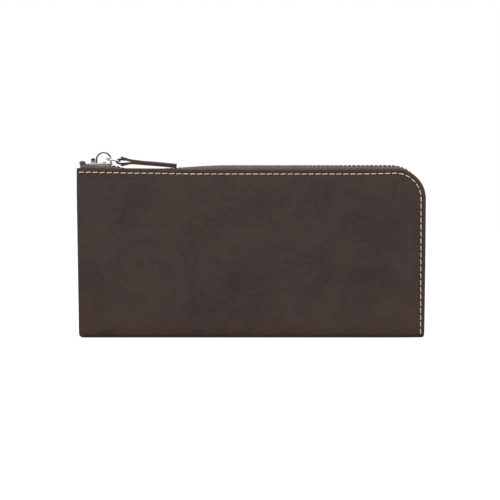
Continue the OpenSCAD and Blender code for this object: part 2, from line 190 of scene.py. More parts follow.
def press_in(point):
    """Lean the edges in towards the zip, and let the long faces swell and wave a little."""
    u = outward(point.x, point.z)
    side = -1 if point.y < 0 else 1
    reach = min(abs(point.y) / (half_depth - 3 * MM), 1)
    point.y -= side * reach * (lean_radius - math.sqrt(lean_radius ** 2 - min(u, corner_radius) ** 2))
    if abs(point.y) > half_depth / 2 and point.z > fold_radius:
        calm = ease(point.z, fold_radius, 30 * MM) * (1 - ease(u, 4 * MM, corner_radius))
        calm *= ease(half_length - abs(point.x), 0, 14 * MM)
        wave = noise.noise(Vector((point.x * 22, side * 3.0, point.z * 26)))
        point.y += side * calm * (0.22 * MM * wave - 0.12 * MM)
    bottom = 1 - point.z / hide_top
    point.x += ease(-point.x, 50 * MM, half_length) * (1.1 * MM * bottom - 0.5 * MM)
    point.x += ease(point.x, 50 * MM, half_length) * (0.35 * MM - 0.6 * MM * bottom ** 2)
    point.z += edge_lift(point.x, point.z)


for point in hide.data.vertices:
    press_in(point.co)
finish_with(hide, "BEVEL", width=0.28 * MM, segments=2, limit_method="ANGLE", angle_limit=math.radians(55))
smooth(hide, 35)


class Nodes:
    """A small bench for wiring one node tree."""

    def __init__(self, tree):
        self.tree = tree

    def add(self, kind, **settings):
        node = self.tree.nodes.new("ShaderNode" + kind)
        for key, value in settings.items():
            if key in node.bl_rna.properties:
                setattr(node, key, value)
            else:
                self.feed(node, key, value)
        return node

    def feed(self, node, socket, value):
        if isinstance(socket, str):
            names = [s.name.replace(" ", "_") for s in node.inputs]
            place = node.inputs[names.index(socket)] if socket in names else node.inputs[socket]
        else:
            place = node.inputs[socket]
        if isinstance(value, bpy.types.NodeSocket):
            self.tree.links.new(value, place)
        else:
            place.default_value = value

    def math(self, operation, *values):
        node = self.add("Math", operation=operation)
        for i, value in enumerate(values):
            self.feed(node, i, value)
        return node.outputs[0]

    def ramp(self, value, low, high, to_low=0.0, to_high=1.0, smooth_step=True):
        node = self.add("MapRange", interpolation_type="SMOOTHSTEP" if smooth_step else "LINEAR")
        for i, v in enumerate((value, low, high, to_low, to_high)):
            self.feed(node, i, v)
        return node.outputs[0]

    def mix(self, share, a, b, blend="MIX"):
        node = self.add("Mix", data_type="RGBA", blend_type=blend)
        self.feed(node, 0, share)
        for i, v in ((6, a), (7, b)):
            self.feed(node, i, v)
        return node.outputs[2]


def srgb(red, green, blue):
    """A colour as the eye sees it, 0 to 255, as the linear values a shader takes."""
    return tuple(
        (c / 255 / 12.92 if c < 10.3 else ((c / 255 + 0.055) / 1.055) ** 2.4) for c in (red, green, blue)
    ) + (1.0,)


def new_group(name, inputs, outputs):
    """An effect shared by several finishes. It returns the tree's bench and its two end nodes."""
    tree = bpy.data.node_groups.new(name, "ShaderNodeTree")
    for label, kind, value in inputs:
        socket = tree.interface.new_socket(name=label, in_out="INPUT", socket_type=kind)
        if value is not None:
            socket.default_value = value
    for label, kind in outputs:
        tree.interface.new_socket(name=label, in_out="OUTPUT", socket_type=kind)
    bench = Nodes(tree)
    return bench, tree.nodes.new("NodeGroupInput").outputs, tree.nodes.new("NodeGroupOutput").inputs


def use_group(bench, name, **inputs):
    node = bench.tree.nodes.new("ShaderNodeGroup")
    node.node_tree = bpy.data.node_groups[name]
    for key, value in inputs.items():
        bench.feed(node, key, value)
    return node.outputs


def new_finish(name, **settings):
    """A material with its Principled shader set. It returns the material, bench and shader."""
    material = bpy.data.materials.new(name)
    material.use_nodes = True
    bench = Nodes(material.node_tree)
    shader = material.node_tree.nodes["Principled BSDF"]
    for key, value in settings.items():
        bench.feed(shader, key, value)
    return material, bench, shader


# The wax in pull-up leather moves when it is bent, so it has soft cloudy patches, a fine grain
# that is almost closed, and a few hairline scuffs that show lighter than the rest.
bench, given, out = new_group(
    "waxed_grain",
    [("Vector", "NodeSocketVector", None), ("Grain", "NodeSocketFloat", 1500.0)],
    [("Clouds", "NodeSocketFloat"), ("Scuffs", "NodeSocketFloat"), ("Height", "NodeSocketFloat")],
)
clouds = bench.add("TexNoise", Vector=given["Vector"], Scale=38.0, Detail=5.0, Roughness=0.62, Distortion=0.6)
specks = bench.add("TexNoise", Vector=given["Vector"], Scale=420.0, Detail=4.0, Roughness=0.7)
bench.tree.links.new(
    bench.math("ADD", bench.math("MULTIPLY", clouds.outputs[0], 0.68),
               bench.math("MULTIPLY", specks.outputs[0], 0.32)), out["Clouds"])
slant = bench.add("Mapping", Rotation=(0.3, 0.9, 0.2), Scale=(420.0, 420.0, 90.0))
bench.feed(slant, "Vector", given["Vector"])
hairs = bench.add("TexNoise", Vector=slant.outputs[0], Scale=1.0, Detail=2.0, Roughness=0.5)
patches = bench.add("TexNoise", Vector=given["Vector"], Scale=22.0, Detail=2.0)
bench.tree.links.new(
    bench.math("MULTIPLY", bench.ramp(hairs.outputs[0], 0.66, 0.74), bench.ramp(patches.outputs[0], 0.5, 0.66)),
    out["Scuffs"])
pores = bench.add("TexVoronoi", Vector=given["Vector"], Scale=given["Grain"], feature="SMOOTH_F1",
                  Smoothness=0.6, Randomness=1.0)
fine = bench.add("TexNoise", Vector=given["Vector"], Scale=2600.0, Detail=3.0, Roughness=0.6)
soft = bench.add("TexNoise", Vector=given["Vector"], Scale=170.0, Detail=3.0)
bench.tree.links.new(
    bench.math("ADD",
               bench.math("ADD", bench.math("MULTIPLY", pores.outputs[0], 0.5),
                          bench.math("MULTIPLY", fine.outputs[0], 0.35)),
               bench.math("MULTIPLY", soft.outputs[0], 0.9)), out["Height"])

# The hide's own finish: dark brown, redder and lighter where it is bent or rubbed at its edges,
# with a pressed line where the stitches pull the leather down, painted darker as painted shade in that dent.
hide_finish, bench, shader = new_finish("outer_leather", Roughness=0.6, Specular_IOR_Level=0.28)
place = bench.add("TexCoord").outputs["Object"]
wax = use_group(bench, "waxed_grain", Vector=place)
split = bench.add("SeparateXYZ")
bench.feed(split, 0, place)
px, py, pz = split.outputs
along_x = bench.math("MAXIMUM", bench.math("SUBTRACT", px, corner_x), 0.0)
along_z = bench.math("MAXIMUM", bench.math("SUBTRACT", pz, corner_z), 0.0)
u = bench.math("SQRT", bench.math("ADD", bench.math("MULTIPLY", along_x, along_x),
                                  bench.math("MULTIPLY", along_z, along_z)))
seam_u = corner_radius - 2.5 * MM
from_seam = bench.math("ABSOLUTE", bench.math("SUBTRACT", u, seam_u))
stitch_dent_and_painted_shade = bench.ramp(from_seam, 0.3 * MM, 1.3 * MM, 1.0, 0.0)
rim = bench.ramp(u, corner_radius - 1.5 * MM, corner_radius - 0.1 * MM)
left_rim = bench.ramp(px, 1.2 * MM - half_length, 0.1 * MM - half_length)
low_rim = bench.ramp(pz, 2.2 * MM, 0.4 * MM)
rims = bench.math("MINIMUM", bench.math("ADD", bench.math("ADD", rim, left_rim), low_rim), 1.0)
worn = bench.add("TexNoise", Vector=place, Scale=90.0, Detail=4.0, Roughness=0.65)
rub = bench.math("MULTIPLY", rims, bench.ramp(worn.outputs[0], 0.36, 0.66, 0.25, 1.0))
low_rub = bench.math("MAXIMUM", bench.ramp(pz, 16 * MM, 1 * MM),
                     bench.math("MULTIPLY", bench.ramp(bench.math("ABSOLUTE", px), 58 * MM, half_length),
                                bench.ramp(pz, 46 * MM, 2 * MM)))
faint = bench.add("TexNoise", Vector=place, Scale=26.0, Detail=6.0, Roughness=0.75)
corner_rub = bench.math("MAXIMUM", low_rub, bench.ramp(faint.outputs[0], 0.58, 0.72, 0.0, 0.5))
corner_rub = bench.math("MULTIPLY", corner_rub, bench.ramp(worn.outputs[0], 0.42, 0.62))
body = bench.mix(bench.ramp(wax["Clouds"], 0.36, 0.64), srgb(57, 44, 40), srgb(69, 56, 51))
body = bench.mix(bench.math("MULTIPLY", corner_rub, 0.8), body, srgb(78, 50, 36))
body = bench.mix(bench.math("MULTIPLY", wax["Scuffs"], 0.1), body, srgb(104, 84, 70))
stroke_space = bench.add("Mapping", Rotation=(0, 0.5, 0), Scale=(170.0, 170.0, 620.0))
bench.feed(stroke_space, "Vector", place)
strokes = bench.add("TexNoise", Vector=stroke_space.outputs[0], Scale=1.0, Detail=5.0,
                    Roughness=0.7, Distortion=1.2)
body = bench.mix(bench.ramp(strokes.outputs[0], 0.35, 0.7, 0.0, 0.35), body, srgb(74, 63, 59))
upright_space = bench.add("Mapping", Scale=(900.0, 900.0, 240.0))
bench.feed(upright_space, "Vector", place)
uprights = bench.add("TexNoise", Vector=upright_space.outputs[0], Scale=1.0, Detail=4.0, Roughness=0.7)
rust = bench.math("MULTIPLY", bench.ramp(uprights.outputs[0], 0.54, 0.66),
                  bench.math("MAXIMUM", corner_rub, 0.12))
body = bench.mix(bench.math("MULTIPLY", rust, 0.8), body, srgb(96, 60, 40))
body = bench.mix(bench.math("MULTIPLY", rub, 0.6), body, srgb(88, 58, 44))
# Painted shade: the pressed stitch line is darkened in colour, as well as dented by the bump below.
body = bench.mix(bench.math("MULTIPLY", stitch_dent_and_painted_shade, 0.5), body, srgb(34, 24, 22))
thread_holes = bench.ramp(from_seam, 0.2 * MM, 0.42 * MM, 1.0, 0.0)
body = bench.mix(bench.math("MULTIPLY", thread_holes, 0.8), body, srgb(66, 44, 30))
bench.feed(shader, "Base_Color", body)
bench.feed(shader, "Roughness", bench.ramp(wax["Clouds"], 0.3, 0.7, 0.66, 0.52, False))
height = bench.math("SUBTRACT", wax["Height"], bench.math("MULTIPLY", stitch_dent_and_painted_shade, 3.2))
bump = bench.add("Bump", Strength=0.55, Distance=0.06 * MM, Height=height)
bench.feed(shader, "Normal", bump.outputs[0])
hide.data.materials.append(hide_finish)

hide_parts("front_panel", "back_panel", "bottom_fold")
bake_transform(hide)

# Stitching
# Waxed cream thread, sewn by machine 2.3 mm in from the edge, through the hide and the zip tape.
# Each visible stitch lies in the pressed line, its ends drawn down into their holes.
stitch_pitch = 4 * MM
stitch_length = 2.8 * MM
stitch_proud = 0.16 * MM
stitch_radius = corner_radius - 2.5 * MM
seam_lean = lean_radius - math.sqrt(lean_radius ** 2 - stitch_radius ** 2)


def on_l(distance, from_x, centre_x, centre_z, radius):
    """A place on the L: along the top, round the corner and down. Gives x, z and the outward angle."""
    top, bend = centre_x - from_x, radius * math.pi / 2
    if distance < top:
        return from_x + distance, centre_z + radius, math.pi / 2
    if distance < top + bend:
        angle = math.pi / 2 - (distance - top) / radius
        return centre_x + radius * math.cos(angle), centre_z + radius * math.sin(angle), angle
    return centre_x + radius, centre_z - (distance - top - bend), 0


def set_on_l(angle, x, y, z):
    """Local X points outwards from the L, local Y to the front, and local Z along it."""
    return Matrix(((math.cos(angle), 0, math.sin(angle), x), (0, -1, 0, y),
                   (math.sin(angle), 0, -math.cos(angle), z), (0, 0, 0, 1)))


def copies(model, name, places):
    """Copy one modelled shape to many places, each copy with its own mesh, joined as one piece."""
    made = []
    for where in places:
        copy = model.copy()
        copy.data = model.data.copy()
        copy.data.transform(where)
        if where.to_3x3().determinant() < 0:
            copy.data.flip_normals()
        bpy.context.collection.objects.link(copy)
        made.append(copy)
    alone(made[0])
    for copy in made:
        copy.select_set(True)
    if len(made) > 1:
        bpy.ops.object.join()
    piece = bpy.context.object
    piece.name = piece.data.name = name
    return piece


stitch = begin(bpy.ops.mesh.primitive_cylinder_add, "stitch", vertices=8, radius=0.27 * MM, depth=stitch_length,
               end_fill_type="NGON")
for end in (-1, 1):
    pick(stitch, lambda co: co.z * end > stitch_length * 0.45, "FACE")
    bpy.ops.mesh.extrude_region_move(TRANSFORM_OT_translate={"value": (0, -0.22 * MM, end * 0.12 * MM)})
    bpy.ops.transform.resize(value=(0.62, 0.62, 0.62))
    bpy.ops.mesh.extrude_region_move(TRANSFORM_OT_translate={"value": (0, -0.3 * MM, end * 0.02 * MM)})
    bpy.ops.object.mode_set(mode="OBJECT")
smooth(stitch, 60)

thread_finish, bench, shader = new_finish("waxed_thread", Roughness=0.62, Specular_IOR_Level=0.3,
                                          Sheen_Weight=0.15)
place = bench.add("TexCoord").outputs["Object"]
tint = bench.add("TexNoise", Vector=place, Scale=350.0, Detail=3.0)
plies = bench.add("TexWave", Vector=place, Scale=1400.0, bands_direction="DIAGONAL", Distortion=0.6)
bench.feed(shader, "Base_Color", bench.mix(
    bench.math("MULTIPLY", plies.outputs["Fac"], 0.25),
    bench.mix(bench.ramp(tint.outputs[0], 0.3, 0.7), srgb(240, 212, 180), srgb(255, 240, 218)),
    srgb(180, 144, 114)))
ply_bump = bench.add("Bump", Strength=0.6, Distance=0.08 * MM, Height=plies.outputs["Fac"])
bench.feed(shader, "Normal", ply_bump.outputs[0])

for body, side, node in (("front_half", -1, "front_stitching"), ("back_half", 1, "back_stitching")):
    places = []
    distance = 0.55 * stitch_pitch
    while distance < (corner_x + half_length) + stitch_radius * math.pi / 2 + corner_z - 2.6 * MM:
        x, z, angle = on_l(distance, -half_length, corner_x, corner_z, stitch_radius)
        z += edge_lift(x, z)
        rolled = max(fold_radius - z, 0)
        turned_in = fold_radius - math.sqrt(fold_radius ** 2 - rolled ** 2)
        y = side * (half_depth - seam_lean + stitch_proud - turned_in)
        wander = noise.noise(Vector((distance * 300, side, 0)))
        slant = Matrix.Rotation(math.radians(4 + 3 * wander), 4, "Y")
        mirrored = Matrix.Scale(-side, 4, (0, 1, 0))
        places.append(mirrored @ set_on_l(angle, x, -abs(y), z) @ slant)
        distance += stitch_pitch
    row = copies(stitch, node[:-3] + "_row", places)
    row.data.materials.append(thread_finish)
    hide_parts(node)
    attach(row, body)
bpy.data.objects.remove(stitch)

# Inner boards, linings and card pockets
# Greyboard stiffens each face. A plain brown cloth lining is glued over it, and three stepped rows of
# thin leather are sewn to each lining as card pockets.
def soft_copy(node, name, round_off):
    """Model a cut sheet on its solid in the frame: merged, cleaned to whole faces, with soft edges."""
    source = bpy.data.objects[node]
    piece = bpy.data.objects.new(name, source.data.copy())
    bpy.context.collection.objects.link(piece)
    piece.data.name = name
    piece.data.materials.clear()
    alone(piece)
    bpy.ops.object.mode_set(mode="EDIT")
    bpy.ops.mesh.select_mode(type="VERT")
    bpy.ops.mesh.select_all(action="SELECT")
    bpy.ops.mesh.remove_doubles(threshold=0.002 * MM)
    bpy.ops.mesh.dissolve_limited(angle_limit=math.radians(1))
    bpy.ops.object.mode_set(mode="OBJECT")
    finish_with(piece, "BEVEL", width=round_off, segments=2, limit_method="ANGLE", angle_limit=math.radians(50))
    smooth(piece, 40)
    return piece


board_finish, bench, shader = new_finish("greyboard", Roughness=0.95, Specular_IOR_Level=0.1)
place = bench.add("TexCoord").outputs["Object"]
pulp = bench.add("TexNoise", Vector=place, Scale=900.0, Detail=5.0, Roughness=0.75)
bench.feed(shader, "Base_Color", bench.mix(
    bench.ramp(pulp.outputs[0], 0.3, 0.7), srgb(120, 108, 92), srgb(168, 155, 136)))
bump = bench.add("Bump", Strength=0.4, Distance=0.05 * MM, Height=pulp.outputs[0])
bench.feed(shader, "Normal", bump.outputs[0])
for node in ("front_board", "back_board"):
    board = bpy.data.objects[node]
    board.data.materials.clear()
    board.data.materials.append(board_finish)

bench, given, out = new_group(
    "plain_weave",
    [("Vector", "NodeSocketVector", None), ("Threads", "NodeSocketFloat", 9000.0)],
    [("Height", "NodeSocketFloat"), ("Slub", "NodeSocketFloat")],
)
split = bench.add("SeparateXYZ")
bench.feed(split, 0, given["Vector"])
level = bench.math("ADD", split.outputs[0], split.outputs[1])
warp = bench.math("SINE", bench.math("MULTIPLY", level, given["Threads"]))
weft = bench.math("SINE", bench.math("MULTIPLY", split.outputs[2], given["Threads"]))
bench.tree.links.new(bench.math("MULTIPLY", warp, weft), out["Height"])
stretched = bench.add("Mapping", Scale=(40.0, 40.0, 1200.0))
bench.feed(stretched, "Vector", given["Vector"])
slubs = bench.add("TexNoise", Vector=stretched.outputs[0], Scale=1.0, Detail=3.0)
bench.tree.links.new(slubs.outputs[0], out["Slub"])


def cloth_finish(name, dark, light, threads):
    finish, bench, shader = new_finish(name, Roughness=0.85, Specular_IOR_Level=0.2, Sheen_Weight=0.2)
    place = bench.add("TexCoord").outputs["Object"]
    cloth = use_group(bench, "plain_weave", Vector=place, Threads=threads)
    tone = bench.mix(bench.ramp(cloth["Slub"], 0.3, 0.7), dark, light)
    # Painted shade: the hollows of the weave, where its height is low, are darkened towards near black.
    tone = bench.mix(bench.ramp(cloth["Height"], -1, 1, 0.35, 0.0), tone, srgb(30, 22, 18))
    bench.feed(shader, "Base_Color", tone)
    bump = bench.add("Bump", Strength=0.5, Distance=0.06 * MM, Height=cloth["Height"])
    bench.feed(shader, "Normal", bump.outputs[0])
    return finish


lining_finish = cloth_finish("lining_cloth", srgb(84, 66, 54), srgb(104, 84, 70), 9000.0)
for node, body in (("front_lining", "front_half"), ("back_lining", "back_half"),
                   ("bottom_lining", "back_half")):
    cloth = soft_copy(node, node + "_cloth", 0.08 * MM)
    cloth.data.materials.append(lining_finish)
    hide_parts(node)
    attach(cloth, body)

# The pocket leather is thinner and smoother than the outside, with a creased line below each top edge
# and a sewn line down the middle that parts the card slots. Each line is dented and painted darker, a painted
# shade in the dent.
inner_finish, bench, shader = new_finish("pocket_leather", Roughness=0.5, Specular_IOR_Level=0.35)
place = bench.add("TexCoord").outputs["Object"]
wax = use_group(bench, "waxed_grain", Vector=place, Grain=2300.0)
split = bench.add("SeparateXYZ")
bench.feed(split, 0, place)
crease_dent_and_painted_shade = 0.0
for edge_height in (72 * MM, 60 * MM, 48 * MM):
    gap = bench.math("ABSOLUTE", bench.math("SUBTRACT", split.outputs[2], edge_height - 1.6 * MM))
    crease_dent_and_painted_shade = bench.math("ADD", bench.ramp(gap, 0.15 * MM, 0.4 * MM, 1.0, 0.0), crease_dent_and_painted_shade)
middle_gap = bench.math("ABSOLUTE", bench.math("ADD", split.outputs[0], 1 * MM))
crease_dent_and_painted_shade = bench.math("MAXIMUM", crease_dent_and_painted_shade, bench.ramp(middle_gap, 0.2 * MM, 0.5 * MM, 1.0, 0.0))
body = bench.mix(bench.ramp(wax["Clouds"], 0.36, 0.64), srgb(66, 51, 45), srgb(84, 66, 58))
# Painted shade: the crease lines and the middle line are darkened in colour, as well as dented by the bump
# below.
body = bench.mix(bench.math("MULTIPLY", crease_dent_and_painted_shade, 0.6), body, srgb(38, 27, 23))
bench.feed(shader, "Base_Color", body)
height = bench.math("SUBTRACT", wax["Height"], bench.math("MULTIPLY", crease_dent_and_painted_shade, 2.0))
bump = bench.add("Bump", Strength=0.5, Distance=0.06 * MM, Height=height)
bench.feed(shader, "Normal", bump.outputs[0])
for half in ("front", "back"):
    for row in ("high", "mid", "low"):
        node = f"{half}_card_row_{row}"
        pocket = soft_copy(node, node + "_leather", 0.12 * MM)
        pocket.data.materials.append(inner_finish)
        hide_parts(node)
        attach(pocket, half + "_half")

# Gussets
# The left end is closed by one leather gusset, glued inside both faces and folded inwards to a V.
# Two cloth gussets join the coin pocket to the back, so that it leans with the opening.
gusset_low, gusset_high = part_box("left_gusset")
gusset_pad = 5.5 * MM
gusset = begin(bpy.ops.mesh.primitive_grid_add, "left_gusset_leather",
               stretch=(2, gusset_high[2] - gusset_low[2] - 0.4 * MM, 1),
               x_subdivisions=40, y_subdivisions=28, size=1)
for point in gusset.data.vertices:
    share, high = point.co.x, point.co.y + (gusset_high[2] + gusset_low[2]) / 2
    side = 1 if share > 0 else -1
    glued = min(max((abs(share) - 0.78) / 0.22, 0), 1)
    slope = min(abs(share) / 0.78, 1)
    slope = math.sqrt(slope ** 2 + 0.004) - 0.0632 * (1 - slope)
    apex_x = gusset_high[0] - 0.6 * MM
    x = apex_x + (gusset_low[0] + gusset_pad - apex_x) * min(slope, 1) - gusset_pad * glued
    wave = 0.35 * MM * math.sin(high * 75) * math.sin(math.pi * min(slope, 1))
    point.co = (x, side * min(slope, 1) * (gusset_high[1] - 0.45 * MM) + wave * 0.5, high)
face_out(gusset)
finish_with(gusset, "SOLIDIFY", thickness=0.6 * MM, offset=0)
finish_with(gusset, "BEVEL", width=0.12 * MM, segments=2, limit_method="ANGLE", angle_limit=math.radians(60))
smooth(gusset, 60)
gusset.data.materials.append(inner_finish)
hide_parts("left_gusset")
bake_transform(gusset)

for side_name in ("left", "right"):
    node = "bill_gusset_" + side_name
    cloth = soft_copy(node, node + "_cloth", 0.08 * MM)
    alone(cloth)
    bpy.ops.object.mode_set(mode="EDIT")
    for height in range(12, 48, 4):
        bpy.ops.mesh.select_all(action="SELECT")
        bpy.ops.mesh.bisect(plane_co=(0, 0, height * MM), plane_no=(0, 0, 1))
    bpy.ops.object.mode_set(mode="OBJECT")
    cloth.data.materials.append(lining_finish)
    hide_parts(node)
    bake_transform(cloth)

# Coin pocket
# Two cloth walls bound with leather on three sides, with a light coil zip along the top.
for node in ("coin_wall_front", "coin_wall_back", "coin_pocket_binding"):
    leather = node.endswith("binding")
    wall = soft_copy(node, node + ("_leather" if leather else "_cloth"), 0.1 * MM)
    wall.data.materials.append(inner_finish if leather else lining_finish)
    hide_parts(node)
    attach(wall, "coin_pocket")
coin_tape = soft_copy("coin_zip_tape", "coin_zip_tape_cloth", 0.08 * MM)
coin_tape.data.materials.append(cloth_finish("coin_tape_cloth", srgb(70, 55, 50), srgb(96, 78, 72), 14000.0))
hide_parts("coin_zip_tape")
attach(coin_tape, "coin_pocket")
coil_finish, bench, shader = new_finish("coil_nylon", Roughness=0.35, Specular_IOR_Level=0.5)
place = bench.add("TexCoord").outputs["Object"]
turns = bench.add("TexWave", Vector=place, Scale=180.0, bands_direction="X")
# Painted shade and painted highlight: the coil is coloured dark between its turns and light on their crests,
# following the bump's wave.
bench.feed(shader, "Base_Color", bench.mix(turns.outputs["Fac"], srgb(52, 40, 36), srgb(98, 80, 72)))
bump = bench.add("Bump", Strength=0.9, Distance=0.3 * MM, Height=turns.outputs["Fac"])
bench.feed(shader, "Normal", bump.outputs[0])
coils = bpy.data.objects["coin_zip_coils"]
coils.data.materials.clear()
coils.data.materials.append(coil_finish)

# Tape-end tab
# A folded scrap of the zip tape, sewn in at the lower end of the zip to cover the cut tape ends.
tab = soft_copy("zip_end_tab", "zip_end_tab_cloth", 0.3 * MM)
tab.data.materials.append(cloth_finish("tab_cloth", srgb(50, 38, 36), srgb(78, 62, 58), 12000.0))
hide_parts("zip_end_tab")
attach(tab, "back_half")

# Zip tapes
# Herringbone tape, purple brown. Each tape lies flat beside its teeth, turns down over a shoulder
# and runs inside the leather, where the stitches hold it. The chain sags a little behind the pull.
chain_x = half_length - 1.7 * MM - 17.5 * MM
chain_corner_z = hide_top + 1.25 * MM - 17.5 * MM
chain_radius = 17.5 * MM
chain_top = chain_corner_z + chain_radius
tape_start = -half_length + 1.2 * MM
tape_edge = 1.25 * MM
tape_thickness = 0.5 * MM
shoulder_y = 4.4 * MM
shoulder_radius = 3.28 * MM


def sag(x):
    """How far the loose chain drops below its straight line, behind the slider and under the pull."""
    return 2.1 * MM * ease(x, -82 * MM, -70 * MM) * (1 - ease(x, -60 * MM, -14 * MM))


def tape_rise(x):
    """The tape's loose end stands up beside the slider's nose."""
    return 1.3 * MM * (1 - ease(x, -97 * MM, -82 * MM))


tape = begin(bpy.ops.mesh.primitive_grid_add, "zip_tape",
             stretch=(chain_x - tape_start, shoulder_y - tape_edge, 1),
             x_subdivisions=90, y_subdivisions=3, size=1)
tape.data.transform(Matrix.Translation(
    ((chain_x + tape_start) / 2, -(shoulder_y + tape_edge) / 2, chain_top + tape_thickness / 2)))
pick(tape, lambda co: co.y < -shoulder_y + MM / 20, "EDGE")
bpy.ops.mesh.spin(steps=7, angle=-math.pi / 2, axis=(1, 0, 0),
                  center=(0, -shoulder_y, chain_top + tape_thickness / 2 - shoulder_radius))
pull_out((0, -0.3 * MM, -5.4 * MM), 3)
bpy.ops.object.mode_set(mode="OBJECT")
pick(tape, lambda co: co.x > chain_x - MM / 20, "EDGE")
bpy.ops.mesh.spin(steps=18, angle=-math.pi / 2, axis=(0, 1, 0), center=(chain_x, 0, chain_corner_z))
pull_out((0, 0, 8 * MM - chain_corner_z), 36)
bpy.ops.object.mode_set(mode="OBJECT")


def l_distance(x, z):
    """How far along the chain a point lies, from the wallet's left end."""
    if x < chain_x:
        return x + half_length
    if z > chain_corner_z:
        return chain_x + half_length + math.atan2(x - chain_x, z - chain_corner_z) * chain_radius
    return chain_x + half_length + chain_radius * math.pi / 2 + chain_corner_z - z


weave_map = tape.data.uv_layers.new(name="weave") if not tape.data.uv_layers else tape.data.uv_layers[0]
weave_map.name = "weave"
for loop in tape.data.loops:
    co = tape.data.vertices[loop.vertex_index].co
    past = outward(co.x, co.z, chain_x, chain_corner_z)
    across = -co.y + max(chain_radius + tape_thickness / 2 - past, 0)
    weave_map.data[loop.index].uv = (l_distance(co.x, co.z), across)


def settle_tape(co):
    """The loose tape follows the chain's sag and rises at its end; its lower edge stays sewn."""
    if co.z > chain_corner_z:
        hold = ease(co.z, chain_top - 6.5 * MM, chain_top - 1.5 * MM)
        top = ease(co.z, chain_top - 1.5 * MM, chain_top)
        ripple = 0.18 * MM * math.sin(co.x * 300) * top * ease(co.x, -80 * MM, -60 * MM)
        co.z += hold * (tape_rise(co.x) - sag(co.x)) + ripple
        co.y *= 1 - 0.2 * (1 - ease(co.x, -98 * MM, -84 * MM)) * hold


for point in tape.data.vertices:
    settle_tape(point.co)
face_out(tape)
if min(tape.data.polygons, key=lambda face: face.center.y).normal.y > 0:
    tape.data.flip_normals()
finish_with(tape, "SOLIDIFY", thickness=tape_thickness, offset=-1)
finish_with(tape, "BEVEL", width=0.12 * MM, segments=2, limit_method="ANGLE", angle_limit=math.radians(60))
smooth(tape, 45)

# Past the stops each tape's end is folded back over itself and sewn into a small lump.
lump = begin(bpy.ops.mesh.primitive_cube_add, "tape_end_fold", stretch=(1.35 * MM, 2.1 * MM, 1.2 * MM))
lump.data.transform(Matrix.Translation((-half_length + 2.1 * MM, -3.1 * MM, 100.75 * MM)))
finish_with(lump, "BEVEL", width=0.55 * MM, segments=3, limit_method="ANGLE", angle_limit=math.radians(30))
finish_with(lump, "SUBSURF", levels=1, render_levels=1)
for point in lump.data.vertices:
    dent = noise.noise_vector(point.co * 700)
    point.co += Vector((dent.x, dent.y, dent.z)) * 0.35 * MM
lump_map = lump.data.uv_layers.active
lump_map.name = "weave"
for loop in lump.data.loops:
    co = lump.data.vertices[loop.vertex_index].co
    lump_map.data[loop.index].uv = (co.x + co.z, co.y)
smooth(lump, 60)
alone(tape)
lump.select_set(True)
bpy.ops.object.join()

# The weave: fine warp rows that slant one way and then the other, two ribs of each to the millimetre.
bench, given, out = new_group(
    "herringbone",
    [("UV", "NodeSocketVector", None)],
    [("Height", "NodeSocketFloat"), ("Fibre", "NodeSocketFloat")],
)
split = bench.add("SeparateXYZ")
bench.feed(split, 0, given["UV"])
zigzag = bench.math("PINGPONG", split.outputs[1], 0.9 * MM)
slanted = bench.math("ADD", split.outputs[0], zigzag)
rows = bench.math("SINE", bench.math("MULTIPLY", slanted, 2 * math.pi / (0.46 * MM)))
warps = bench.math("SINE", bench.math("MULTIPLY", split.outputs[1], 2 * math.pi / (0.3 * MM)))
bench.tree.links.new(bench.math("ADD", bench.math("MULTIPLY", rows, 0.5), bench.math("MULTIPLY", warps, 0.25)),
                     out["Height"])
fuzz = bench.add("TexNoise", Vector=given["UV"], Scale=2400.0, Detail=3.0, Roughness=0.7)
bench.tree.links.new(fuzz.outputs[0], out["Fibre"])

tape_finish, bench, shader = new_finish("zip_tape", Roughness=0.85, Specular_IOR_Level=0.2, Sheen_Weight=0.25,
                                        Sheen_Roughness=0.5)
weave = use_group(bench, "herringbone", UV=bench.add("UVMap", uv_map="weave").outputs[0])
# Painted shade and painted highlight: the weave's hollows are coloured dark and its rib tops light, following
# the height that the bump uses.
cloth = bench.mix(bench.ramp(weave["Height"], -0.6, 0.6), srgb(66, 50, 50), srgb(126, 103, 102))
fuzz_share = bench.math("MULTIPLY", bench.ramp(weave["Fibre"], 0.35, 0.7), 0.4)
cloth = bench.mix(fuzz_share, cloth, srgb(142, 120, 118))
bench.feed(shader, "Base_Color", cloth)
weave_bump = bench.add("Bump", Strength=0.7, Distance=0.12 * MM, Height=weave["Height"])
bench.feed(shader, "Normal", weave_bump.outputs[0])
tape.data.materials.append(tape_finish)

for body, side, node in (("front_half", 1, "front_zip_tape"), ("back_half", -1, "back_zip_tape")):
    half = copies(tape, node[:-5] + "_tape_strip", [Matrix.Scale(side, 4, (0, 1, 0))])
    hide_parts(node)
    if body == "front_half":
        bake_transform(half)
    else:
        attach(half, body)
bpy.data.objects.remove(tape)

# Zip teeth
# Stamped metal teeth with a dark antique plating. Each has a rounded head with a nib, a hollow under it
# for its neighbour's nib, and two legs squeezed on to the bead at the tape's edge.
tooth_pitch = 2.55 * MM
tooth_count = 98
first_tooth = -half_length + 9.6 * MM
tooth = begin(bpy.ops.mesh.primitive_cube_add, "tooth", stretch=(0.9 * MM, 1.1 * MM, 0.54 * MM))
tooth.data.transform(Matrix.Translation((0, 0.75 * MM, 0)))
pick(tooth, lambda co: co.y < 0, "FACE")
bpy.ops.transform.resize(value=(0.86, 1, 0.72))
bpy.ops.mesh.extrude_region_move(TRANSFORM_OT_translate={"value": (0, -0.14 * MM, 0)})
bpy.ops.transform.resize(value=(0.6, 1, 0.5))
bpy.ops.object.mode_set(mode="OBJECT")
pick(tooth, lambda co: co.y > 1.8 * MM, "FACE")
bpy.ops.mesh.extrude_region_move(TRANSFORM_OT_translate={"value": (0, 1.3 * MM, 0)})
bpy.ops.transform.resize(value=(0.85, 1, 0.6))
bpy.ops.object.mode_set(mode="OBJECT")
